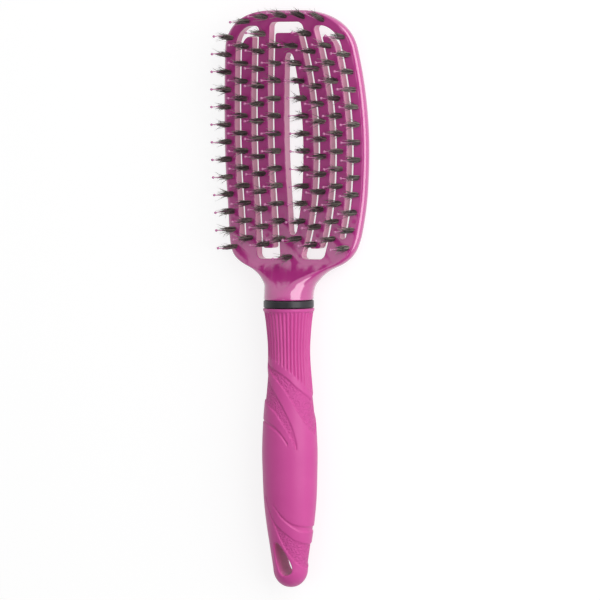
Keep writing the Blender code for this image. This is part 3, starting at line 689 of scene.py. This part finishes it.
def boarTree():
    tree, add, given = newTree("boarTufts", Strands="Int", Bundle_Radius="Float", Length="Float",
                               Radius="Float", Stray="Float", Tilt="Float", Seed="Int", Material="Material")
    length = given["Length"]
    drawn = drawRandom(add, given["Seed"], 1, tilt=sideways, angle=(0, 2 * math.pi), out=(0, 1),
                       wild=(0, 1), stray=sideways, reach=tufts["boarReach"], shade=(0, 1))
    tilt = sumOffsets(add, [(drawn["tilt"], given["Tilt"])])
    points = add("GeometryNodeMeshToPoints", {"Mesh": given["Geometry"]})
    points = storeFields(add, points, "FLOAT_VECTOR", tilt=tilt)
    points = add("GeometryNodeDuplicateElements", {"Geometry": points, "Amount": given["Strands"]},
                 domain="POINT")

    # Each strand starts at its own place in the bundle, evenly spread over a disc.
    root = add("ShaderNodeMath", {0: drawn["out"]}, operation="SQRT")
    out = add("ShaderNodeMath", {0: root, 1: given["Bundle Radius"]}, operation="MULTIPLY")
    cosine = add("ShaderNodeMath", {0: drawn["angle"]}, operation="COSINE")
    sine = add("ShaderNodeMath", {0: drawn["angle"]}, operation="SINE")
    around = add("ShaderNodeCombineXYZ", {"X": cosine, "Y": sine})
    spread = sumOffsets(add, [(around, out)])
    wild = add("ShaderNodeMath", {0: drawn["wild"], 1: tufts["strayPower"]}, operation="POWER")
    wild = add("ShaderNodeMath", {0: wild, 1: given["Stray"]}, operation="MULTIPLY")
    stray = sumOffsets(add, [(drawn["stray"], wild)])
    points = storeFields(add, points, "FLOAT_VECTOR", spread=spread, stray=stray)
    points = storeFields(add, points, "FLOAT", reach=drawn["reach"], shade=drawn["shade"])
    points = add("GeometryNodeSetPosition", {"Geometry": points, "Offset": spread})
    hairs = hairLines(add, points, length, pointsCount=5)

    # The bundle swells and closes again, stray hairs leave it, and some stay short.
    spread, stray, tilt, lean = readFields(add, "FLOAT_VECTOR", "spread", "stray", "tilt", "lean")
    reach, = readFields(add, "FLOAT", "reach")
    t = add("GeometryNodeSplineParameter").outputs["Factor"]
    tSquared = add("ShaderNodeMath", {0: t, 1: t}, operation="MULTIPLY")
    swell = add("ShaderNodeMath", {0: t, 1: tufts["swell"]}, operation="MULTIPLY")
    close = add("ShaderNodeMath", {0: tSquared, 1: tufts["close"]}, operation="MULTIPLY")
    bulge = add("ShaderNodeMath", {0: swell, 1: close}, operation="SUBTRACT")
    missing = add("ShaderNodeMath", {0: reach, 1: 1.0}, operation="SUBTRACT")
    height = add("ShaderNodeMath", {0: t, 1: length}, operation="MULTIPLY")
    shorter = add("ShaderNodeMath", {0: missing, 1: height}, operation="MULTIPLY")
    leaning = sumOffsets(add, [(tilt, length), (lean, 1.0)])
    offset = sumOffsets(add, [(spread, bulge), (stray, tSquared), (leaning, t), ((0, 0, 1), shorter)])
    hairs = add("GeometryNodeSetPosition", {"Geometry": hairs, "Offset": offset})
    mesh = skinHairs(add, hairs, given["Radius"], sides=4, along=tSquared, taper=tufts["boarTaper"])
    endTree(add, mesh, given["Material"])
    return tree


def quillTree():
    tree, add, given = newTree("ballTippedQuills", Length="Float", Radius="Float", Ball_Radius="Float",
                               Tilt="Float", Seed="Int", Material="Material")
    length = given["Length"]
    drawn = drawRandom(add, given["Seed"], 11, tilt=sideways, bend=sideways)
    tilt = sumOffsets(add, [(drawn["tilt"], given["Tilt"])])
    points = add("GeometryNodeMeshToPoints", {"Mesh": given["Geometry"]})
    points = storeFields(add, points, "FLOAT_VECTOR", tilt=tilt, bend=drawn["bend"])
    quills = hairLines(add, points, length, pointsCount=6)

    # Each shaft leans as its tuft does and is bent a little in the middle.
    tilt, lean, bend = readFields(add, "FLOAT_VECTOR", "tilt", "lean", "bend")
    t = add("GeometryNodeSplineParameter").outputs["Factor"]
    rest = add("ShaderNodeMath", {0: 1.0, 1: t}, operation="SUBTRACT")
    arch = add("ShaderNodeMath", {0: t, 1: rest}, operation="MULTIPLY")
    most = add("ShaderNodeMath", {0: length, 1: tufts["quillBend"]}, operation="MULTIPLY")
    arch = add("ShaderNodeMath", {0: arch, 1: most}, operation="MULTIPLY")
    leaning = sumOffsets(add, [(tilt, length), (lean, 1.0)])
    offset = sumOffsets(add, [(leaning, t), (bend, arch)])
    quills = add("GeometryNodeSetPosition", {"Geometry": quills, "Offset": offset})
    shafts = skinHairs(add, quills, given["Radius"], sides=6, along=t, taper=tufts["quillTaper"])
    tips = add("GeometryNodeCurveEndpointSelection", {"Start Size": 0, "End Size": 1})
    ball = add("GeometryNodeMeshUVSphere", {"Segments": 8, "Rings": 6, "Radius": given["Ball Radius"]})
    balls = add("GeometryNodeInstanceOnPoints", {"Points": quills, "Selection": tips, "Instance": ball})
    both = add("GeometryNodeJoinGeometry", {0: shafts})
    tree.links.new(balls.outputs[0], both.inputs[0])
    endTree(add, both, given["Material"])
    return tree


def grow(name, bases, leans, tree, values):
    # The tree grows its hairs on a mesh of bare points, and the result becomes plain mesh.
    data = bpy.data.meshes.new(name)
    data.from_pydata(bases, [], [])
    leaning = data.attributes.new("lean", "FLOAT_VECTOR", "POINT")
    for index, lean in enumerate(leans):
        leaning.data[index].vector = (0, lean, 0)
    piece = bpy.data.objects.new(name, data)
    bpy.context.scene.collection.objects.link(piece)
    modifier = piece.modifiers.new("grow", "NODES")
    modifier.node_group = tree
    for item in tree.interface.items_tree:
        if item.in_out == "INPUT" and item.name in values:
            modifier[item.identifier] = values[item.name]
    settle(piece)
    piece.data.shade_smooth()
    return piece


def makeTufts():
    boar, quill = boarTree(), quillTree()
    for number, (node, places) in enumerate(tuftRows()):
        bases = [place(x, along, headTopAt(x, along) - tufts["sunk"]) for x, along, _ in places]
        leans = [lean for _, _, lean in places]
        shared = {"Seed": tufts["firstSeed"] + tufts["seedStep"] * number}
        boarPiece = grow(node + "_boar", bases, leans, boar, {
            **shared, "Strands": tufts["strands"], "Bundle Radius": tufts["bundleRadius"],
            "Length": tufts["boarLength"], "Radius": tufts["boarRadius"], "Stray": tufts["boarStray"],
            "Tilt": tufts["boarTilt"], "Material": boarBristle})
        quillPiece = grow(node + "_quills", bases, leans, quill, {
            **shared, "Length": tufts["quillLength"] + tufts["sunk"], "Radius": tufts["quillRadius"],
            "Ball Radius": tufts["ballRadius"], "Tilt": tufts["quillTilt"], "Material": pinkNylon})
        for piece, slot in ((boarPiece, "boar"), (quillPiece, "pink_nylon")):
            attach(piece, "root")
            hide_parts(node)


headPiece = makeHead()
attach(headPiece, "root")
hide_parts("head_frame")
print("head made,", len(headPiece.data.polygons), "faces")

makeTufts()
print("tufts grown")

# The collar ring: turned, with soft edges.
ring = {"radius": 10.7 * mm, "bore": 7.75 * mm, "edge": 0.5 * mm, "sides": 96, "edgeSteps": 5,
        "sharpDegrees": 50}


def makeRing():
    profile = [(ring["bore"], ringStart)]
    for centre, first in ((ringStart + ring["edge"], -math.pi / 2), (ringEnd - ring["edge"], 0)):
        for angle in steps(first, first + math.pi / 2, ring["edgeSteps"]):
            profile.append((ring["radius"] - ring["edge"] * (1 - math.cos(angle)),
                            centre + ring["edge"] * math.sin(angle)))
    profile.append((ring["bore"], ringEnd))
    around = steps(0, 2 * math.pi, ring["sides"])[:-1]
    sections = [[place(radius * math.cos(angle), along, axisHeight + radius * math.sin(angle))
                 for angle in around] for radius, along in profile]
    piece = pieceFrom(loft(sections, cyclic=True), "collarRing", glossCharcoal)
    softenShading(piece, ring["sharpDegrees"])
    return piece


ringPiece = makeRing()
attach(ringPiece, "root")
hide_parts("collar_ring")
print("ring made")

# The grip. Outline pairs are shares of its length and of its belly's radius. The lines of the
# relief are pairs of degrees round from the top, towards the right, and mm from the butt.
grip = {
    "bellyRadius": 12.05 * mm, "bellyDepthShare": 0.9, "buttLength": 8.0 * mm, "buttTipShare": 0.04,
    "buttSteps": 22, "spacings": [(41 * mm, 0.32 * mm), (57 * mm, 1.0 * mm), (97 * mm, 0.32 * mm)],
    "ribSpacing": 0.9 * mm,
    "lipLength": 1.4 * mm, "lipProud": 0.3 * mm, "lipEdge": 0.4 * mm, "lipRise": (0.05 * mm, 0.7),
    "outlineShares": [
        (0.055, 0.61), (0.097, 0.672), (0.15, 0.75), (0.235, 0.873), (0.32, 0.955), (0.41, 0.988),
        (0.50, 1.0), (0.62, 0.933), (0.74, 0.81), (0.845, 0.748), (0.94, 0.806), (1.0, 0.885)],
    "ribs": 36, "ribDepth": 0.55 * mm, "ribFade": 1.2 * mm, "pointsPerRib": 8,
    "ribEnd": [(-90, 100.4), (-55, 98.6), (-4, 95.0), (29, 91.3), (62, 86.3), (90, 82.8)],
    "leafDepth": 0.5 * mm, "leafWall": 0.5 * mm, "steepest": 4, "sharpDegrees": 55,
    "leaves": [
        {"grain": 1, "upper": [(-62, 96.4), (-9, 92.4), (21, 89.4), (41, 86.1), (60, 83.5), (77, 81.6),
                               (90, 80.3)],
         "lower": [(-58, 96.2), (-47, 94.2), (-19, 90.2), (0, 87.2), (18, 83.4), (37, 77.8), (51, 73.6),
                   (70, 68.6), (90, 65.4)]},
        {"grain": 1, "upper": [(-90, 95.6), (-62, 93.6), (-24, 85.5), (4, 79.1), (22, 72.7), (33, 67.3),
                               (41, 60.9)],
         "lower": [(-90, 80.8), (-56, 79.2), (-11, 75.1), (11, 69.8), (25, 65.3), (38, 59.9), (41, 58.9)]},
        {"grain": 0, "upper": [(-90, 72.4), (-56, 71.4), (-17, 69.6), (5, 66.3), (20, 62.2)],
         "lower": [(-90, 71.0), (-56, 70.6), (-9, 67.5), (8, 64.5), (20, 61.0)]},
        {"grain": 0, "upper": [(-16, 36.0), (2, 31.7), (19, 28.8), (38, 27.1), (62, 26.3), (90, 26.1)],
         "lower": [(-16, 35.8), (0, 31.0), (16, 28.1), (36, 25.6), (55, 24.3), (90, 24.0)]},
        {"grain": 1, "upper": [(-40, 39.0), (-30, 33.8), (-19, 29.0), (-2, 25.6), (16, 23.0), (39, 20.4),
                               (90, 18.2)],
         "lower": [(-40, 38.4), (-32, 34.2), (-16, 26.4), (-7, 22.4), (8, 17.4), (26, 13.6), (44, 10.8),
                   (70, 9.0), (90, 8.3)]},
    ],
    "hole": {"length": 14.6 * mm, "width": 7.8 * mm, "aboveButt": 12.5 * mm, "offset": -1.1 * mm,
             "slantDegrees": 19.4, "lean": 0.35 * mm, "topShare": 0.5, "roundness": 0.7,
             "fillet": 0.6 * mm, "points": 72, "cutReach": 25 * mm, "lastLevel": 0.8, "levels": 8},
}


def gripRadius(along):
    butt = grip["buttLength"]
    radius = grip["bellyRadius"] * curveThrough(grip["outlineShares"], max(along, butt) / gripLength)
    if along < butt:
        radius *= mix(grip["buttTipShare"], 1, math.sqrt(max(1 - ((butt - along) / butt) ** 2, 0)))
    return radius


def gripDepthShare(along):
    return mix(grip["bellyDepthShare"], 1, smooth((along - gripLength / 2) / (gripLength / 2)))


def foldedDegrees(degrees):
    # The back of the grip mirrors its front, as the two halves of its mould do.
    degrees = (degrees + 180) % 360 - 180
    return math.copysign(180, degrees) - degrees if abs(degrees) > 90 else degrees


def lineAt(pairs, degrees):
    # A relief line's place at an angle, and how steeply it runs there, or nothing past its ends.
    if not pairs[0][0] <= degrees <= pairs[-1][0]:
        return None
    here = curveThrough(pairs, degrees) * mm
    arc = math.radians(1) * grip["bellyRadius"] * grip["bellyDepthShare"]
    near = max(degrees - 1, pairs[0][0])
    apart = max(degrees - near, 0.01)  # never zero, also at the line's own start
    slope = (here - curveThrough(pairs, near) * mm) / (arc * apart)
    return here, math.sqrt(1 + min(abs(slope), grip["steepest"]) ** 2)


def reliefLines(degrees):
    folded = foldedDegrees(degrees)
    leaves = []
    for leaf in grip["leaves"]:
        upper, lower = lineAt(leaf["upper"], folded), lineAt(leaf["lower"], folded)
        if upper and lower:
            leaves.append((upper, lower, leaf["grain"]))
    return leaves, curveThrough(grip["ribEnd"], folded) * mm


def leafShare(along, upper, lower):
    wall = grip["leafWall"]
    into = (upper[0] - along) / (wall * upper[1]) + 0.5
    out = (along - lower[0]) / (wall * lower[1]) + 0.5
    return smooth(into) * smooth(out)


def reliefAt(lines, ribPhase, along):
    leaves, ribEnd = lines
    depth = 0
    for upper, lower, _ in leaves:
        depth = max(depth, leafShare(along, upper, lower) * grip["leafDepth"])
    lipStart = gripLength - grip["lipLength"]
    ribShare = smooth((along - ribEnd) / grip["ribFade"]) * smooth((lipStart - along) / grip["lipEdge"])
    depth += grip["ribDepth"] * ribShare * (1 - abs(math.sin(math.pi * ribPhase)))
    return -depth


def gripStations():
    butt, lipStart = grip["buttLength"], gripLength - grip["lipLength"]
    stations = [butt * (1 - math.cos(angle)) for angle in steps(0, math.pi / 2, grip["buttSteps"])][1:]
    for last, spacing in grip["spacings"] + [(lipStart, grip["ribSpacing"])]:
        first = stations[-1]
        stations += steps(first, last, round((last - first) / spacing))[1:]
    return stations


def gripSection(along, lines, proud=0):
    radius, depthShare = gripRadius(along) + proud, gripDepthShare(along)
    points = []
    for index, line in enumerate(lines):
        angle = 2 * math.pi * index / len(lines)
        here = radius + (0 if proud else reliefAt(line, index / grip["pointsPerRib"], along))
        height = axisHeight + here * depthShare * math.cos(angle)
        points.append(place(here * math.sin(angle), along, height))
    return points


def leafHole(level):
    # The same slanted leaf at every level, as a straight core that leans a little leaves it.
    hole = grip["hole"]
    slant = math.radians(hole["slantDegrees"])
    points = []
    for index in range(hole["points"]):
        angle = 2 * math.pi * (index + 0.5) / hole["points"]
        fullness = mix(hole["topShare"], 1, math.sin(angle / 2) ** 2)
        bulge = math.copysign(abs(math.sin(angle)) ** hole["roundness"], math.sin(angle))
        x = hole["width"] / 2 * bulge * fullness
        y = hole["length"] / 2 * math.cos(angle)
        points.append((x * math.cos(slant) - y * math.sin(slant) + hole["offset"] + level * hole["lean"],
                       hole["aboveButt"] + x * math.sin(slant) + y * math.cos(slant)))
    return points


def gripSide(side):
    def height(x, along):
        radius = gripRadius(max(along, 1 * mm))
        return axisHeight + side * gripDepthShare(along) * math.sqrt(max(radius ** 2 - x ** 2, 0))
    return height


def makeGrip():
    count = grip["ribs"] * grip["pointsPerRib"]
    lines = [reliefLines(360 * index / count) for index in range(count)]
    sections = [gripSection(along, lines) for along in gripStations()]
    lipStart, edge = gripLength - grip["lipLength"], grip["lipEdge"]
    riseLength, riseShare = grip["lipRise"]
    sections.append(gripSection(lipStart + riseLength, lines, grip["lipProud"] * riseShare))
    sections.append(gripSection(lipStart + edge, lines, grip["lipProud"]))
    for angle in steps(0, math.pi / 2, 4):
        sections.append(gripSection(gripLength - edge * (1 - math.sin(angle)), lines,
                                    grip["lipProud"] - edge * (1 - math.cos(angle))))
    piece = pieceFrom(loft(sections), "gripSleeve", satinPink)
    hole = grip["hole"]
    levels = steps(hole["lastLevel"], -hole["lastLevel"], hole["levels"])
    cutter = flaredCutter("leafHole", leafHole, gripSide(-1), gripSide(1), hole["fillet"], hole["cutReach"],
                          [satinPink], levels)
    cutWith(piece, [cutter])
    grain = piece.data.attributes.new("grain", "FLOAT", "POINT")
    for index, vert in enumerate(piece.data.vertices):
        degrees = math.degrees(math.atan2(vert.co.x, vert.co.z - axisHeight))
        along = vert.co.y + halfLength
        leaves = lines[round(degrees / 360 * count) % count][0]
        grain.data[index].value = max([leafShare(along, upper, lower) * grained
                                       for upper, lower, grained in leaves], default=0)
    softenShading(piece, grip["sharpDegrees"])
    return piece


gripPiece = makeGrip()
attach(gripPiece, "root")
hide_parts("grip_sleeve")
print("grip made,", len(gripPiece.data.polygons), "faces")

# The stage: a pale floor that keeps the soft shadow, and a white surround.
stage = {
    "floorSize": 6.0, "floorDrop": 0.05 * mm, "floorColour": "#EDEDED", "shadeColour": "#9C9C9C",
    "glow": 0.78, "worldShare": 0.4, "ceiling": 0.18, "ceilingStart": 0.45, "ceilingFull": 0.95,
    "ceilingSlope": 0.9,
}


def shownRays(add):
    # 1 for the rays that show the surround itself, and 0 for those that light things.
    path = add("ShaderNodeLightPath").outputs
    shown = path["Is Camera Ray"]
    for name in ("Is Glossy Ray", "Is Transmission Ray"):
        shown = add("ShaderNodeMath", {0: shown, 1: path[name]}, operation="MAXIMUM")
    return shown


def makeFloor():
    material = bpy.data.materials.new("paintedFloor")  # matt white paint, with no gloss to show
    material.use_nodes = True
    tree = material.node_tree
    tree.nodes.clear()
    add = partial(addNode, tree)
    plain = add("ShaderNodeBsdfDiffuse", {"Color": linear(stage["floorColour"])})
    shade = add("ShaderNodeBsdfDiffuse", {"Color": linear(stage["shadeColour"])})
    glow = add("ShaderNodeEmission", {"Color": linear("#FFFFFF"), "Strength": stage["glow"]})
    shown = add("ShaderNodeAddShader", {0: shade, 1: glow})
    front = add("ShaderNodeMixShader", {0: shownRays(add), 1: plain, 2: shown})
    clear = add("ShaderNodeBsdfTransparent")
    behind = add("ShaderNodeNewGeometry").outputs["Backfacing"]
    final = add("ShaderNodeMixShader", {0: behind, 1: front, 2: clear})
    add("ShaderNodeOutputMaterial", {"Surface": final})
    mesh = bmesh.new()
    bmesh.ops.create_grid(mesh, x_segments=4, y_segments=4, size=stage["floorSize"] / 2)
    bmesh.ops.translate(mesh, verts=mesh.verts, vec=(0, 0, -stage["floorDrop"]))
    floor = pieceFrom(mesh, "floor", material)


def makeWorld():
    # A white room whose ceiling is darker over the handle's end, which the gloss shows.
    world = bpy.data.worlds.new("softRoom")
    bpy.context.scene.world = world
    world.use_nodes = True
    tree = world.node_tree
    tree.nodes.clear()
    add = partial(addNode, tree)
    direction = add("ShaderNodeTexCoord").outputs["Generated"]
    sides = add("ShaderNodeSeparateXYZ", {0: direction}).outputs
    slope = add("ShaderNodeMath", {0: sides["Y"], 1: stage["ceilingSlope"]}, operation="MULTIPLY")
    height = add("ShaderNodeMath", {0: sides["Z"], 1: slope}, operation="SUBTRACT")
    inputs = {0: height, 1: stage["ceilingStart"], 2: stage["ceilingFull"], 3: 1.0, 4: stage["ceiling"]}
    ceiling = add("ShaderNodeMapRange", inputs)
    path = add("ShaderNodeLightPath").outputs
    seen = add("ShaderNodeMath", {0: ceiling, 1: path["Is Camera Ray"]}, operation="MAXIMUM")
    white = linear("#FFFFFF")
    soft = add("ShaderNodeBackground", {"Color": white, "Strength": stage["worldShare"]})
    clean = add("ShaderNodeBackground", {"Color": white, "Strength": seen})
    both = add("ShaderNodeMixShader", {0: shownRays(add), 1: soft, 2: clean})
    add("ShaderNodeOutputWorld", {"Surface": both})


# Each lamp: the direction it stands in, its distance, width and height in metres, and the
# share of full light that it gives a surface turned straight to it.
lamps = {
    "sideBox": {"towards": (1.0, 0.35, 0.6), "distance": 0.9, "width": 1.0, "height": 0.75,
                "share": 0.8},
    "topStrip": {"towards": (-0.05, -0.05, 1.0), "distance": 1.1, "width": 0.12, "height": 0.6,
                 "share": 0.03},
}


def makeLamps():
    for name, lamp in lamps.items():
        data = bpy.data.lights.new(name, "AREA")
        data.shape = "RECTANGLE"
        data.size, data.size_y = lamp["width"], lamp["height"]
        data.energy = lamp["share"] * math.pi ** 2 * lamp["distance"] ** 2
        item = bpy.data.objects.new(name, data)
        bpy.context.scene.collection.objects.link(item)
        direction = Vector(lamp["towards"]).normalized()
        item.location = place(0, headTop / 2, axisHeight) + direction * lamp["distance"]
        across = Vector((0, 0, 1)).cross(direction).normalized()
        turned = Matrix((across, direction.cross(across), direction)).transposed()
        item.rotation_euler = turned.to_euler()


makeFloor()
makeWorld()
makeLamps()
bpy.context.scene.view_settings.view_transform = "Standard"
print("stage lit")
